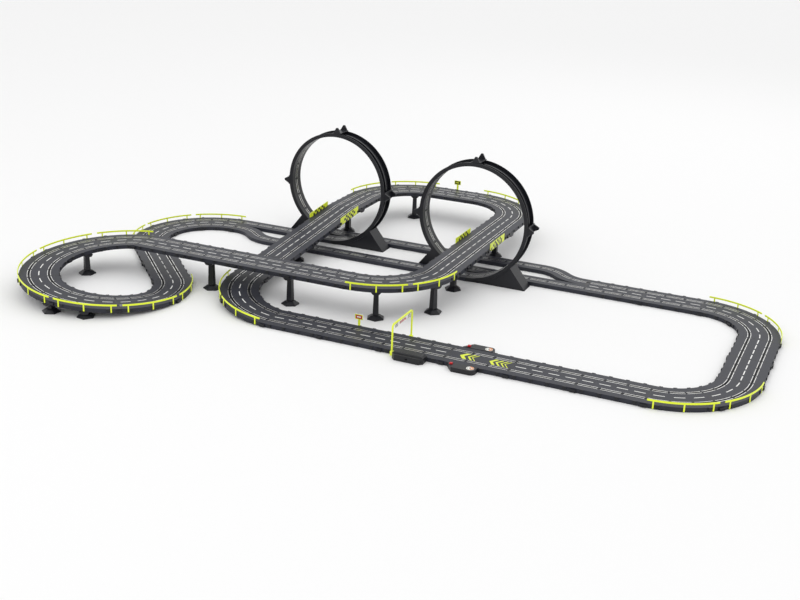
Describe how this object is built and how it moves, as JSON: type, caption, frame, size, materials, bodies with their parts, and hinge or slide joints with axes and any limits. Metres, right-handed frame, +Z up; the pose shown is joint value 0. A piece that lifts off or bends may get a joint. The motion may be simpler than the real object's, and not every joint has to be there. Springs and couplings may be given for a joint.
{
  "type": "slot car track set",
  "caption": "Two-lane slot car circuit of clip-together sections with a raised crossing on piers, upright loops, guard rails, a gantry, a power box and lap counters.",
  "frame": {"origin": "on the floor, under the middle of the overall box", "axes": "+X along the start straight, from the power section to the lap counters; +Y away from it, towards the back straight; +Z up"},
  "size_m": [2.1526, 1.5344, 0.3932],
  "materials": {
    "track_plastic": "fine-grained moulded finish",
    "loop_plastic": "fine-grained moulded finish",
    "black_plastic": "fine-grained moulded finish",
    "rail_plastic": "smooth, brightly coloured",
    "banner_card": "smooth, with a printed pattern",
    "housing_plastic": "fine-grained moulded finish",
    "dial_plastic": "smooth",
    "button_plastic": "smooth",
    "lever_plastic": "smooth"
  },
  "bodies": {
    "circuit": {"back_straight_sections": "track_plastic", "bridge_back_section": "track_plastic", "bridge_side_panels": "rail_plastic", "bridge_side_sections": "track_plastic", "bridge_sign_board": "banner_card", "bridge_sign_post": "rail_plastic", "bridge_straight_sections": "track_plastic", "diagonal_sections": "track_plastic", "gantry_banner": "banner_card", "gantry_frame": "rail_plastic", "ground_curve_sections": "track_plastic", "ground_guard_rails": "rail_plastic", "joint_clips": "black_plastic", "lane_spread_sections": "track_plastic", "lap_counter_housings": "housing_plastic", "lap_counter_section": "track_plastic", "loop_joiners": "black_plastic", "loop_sections": "loop_plastic", "loop_supports": "black_plastic", "pier_feet": "black_plastic", "pier_heads": "black_plastic", "pier_posts": "black_plastic", "power_section": "track_plastic", "raised_curve_sections": "track_plastic", "raised_guard_rails": "rail_plastic", "ramp_sections": "track_plastic", "ramp_side_panels": "rail_plastic", "side_straight_sections": "track_plastic", "single_lane_sections": "track_plastic", "start_sign_board": "banner_card", "start_sign_post": "rail_plastic", "start_straight_sections": "track_plastic", "terminal_box": "housing_plastic", "terminal_lid": "housing_plastic"},
    "near_lap_dial_body": {"near_lap_dial": "dial_plastic"},
    "far_lap_dial_body": {"far_lap_dial": "dial_plastic"},
    "near_reset_button_body": {"near_reset_button": "button_plastic"},
    "far_reset_button_body": {"far_reset_button": "button_plastic"},
    "near_trip_lever_body": {"near_trip_lever": "lever_plastic"},
    "far_trip_lever_body": {"far_trip_lever": "lever_plastic"}
  },
  "joints": [
    {"name": "near_lap_dial_turn", "type": "hinge", "parent": "circuit", "child": "near_lap_dial_body", "pos_m": [0.368, -0.56412, 0.0122], "axis": [0, 0, 1], "continuous": true},
    {"name": "near_reset_button_press", "type": "slide", "parent": "circuit", "child": "near_reset_button_body", "axis": [0, 0, -1], "range_m": [0, 0.0025], "stiffness_N_per_m": 60},
    {"name": "near_trip_lever_swing", "type": "hinge", "parent": "circuit", "child": "near_trip_lever_body", "pos_m": [0.356, -0.54317, 0.002], "axis": [0, 0, 1], "range_deg": [0, 12], "stiffness_Nm_per_rad": 0.005},
    {"name": "far_lap_dial_turn", "type": "hinge", "parent": "circuit", "child": "far_lap_dial_body", "pos_m": [0.368, -0.42072, 0.0122], "axis": [0, 0, 1], "continuous": true},
    {"name": "far_reset_button_press", "type": "slide", "parent": "circuit", "child": "far_reset_button_body", "axis": [0, 0, -1], "range_m": [0, 0.0025], "stiffness_N_per_m": 60},
    {"name": "far_trip_lever_swing", "type": "hinge", "parent": "circuit", "child": "far_trip_lever_body", "pos_m": [0.356, -0.44167, 0.002], "axis": [0, 0, -1], "range_deg": [0, 12], "stiffness_Nm_per_rad": 0.005}
  ]
}
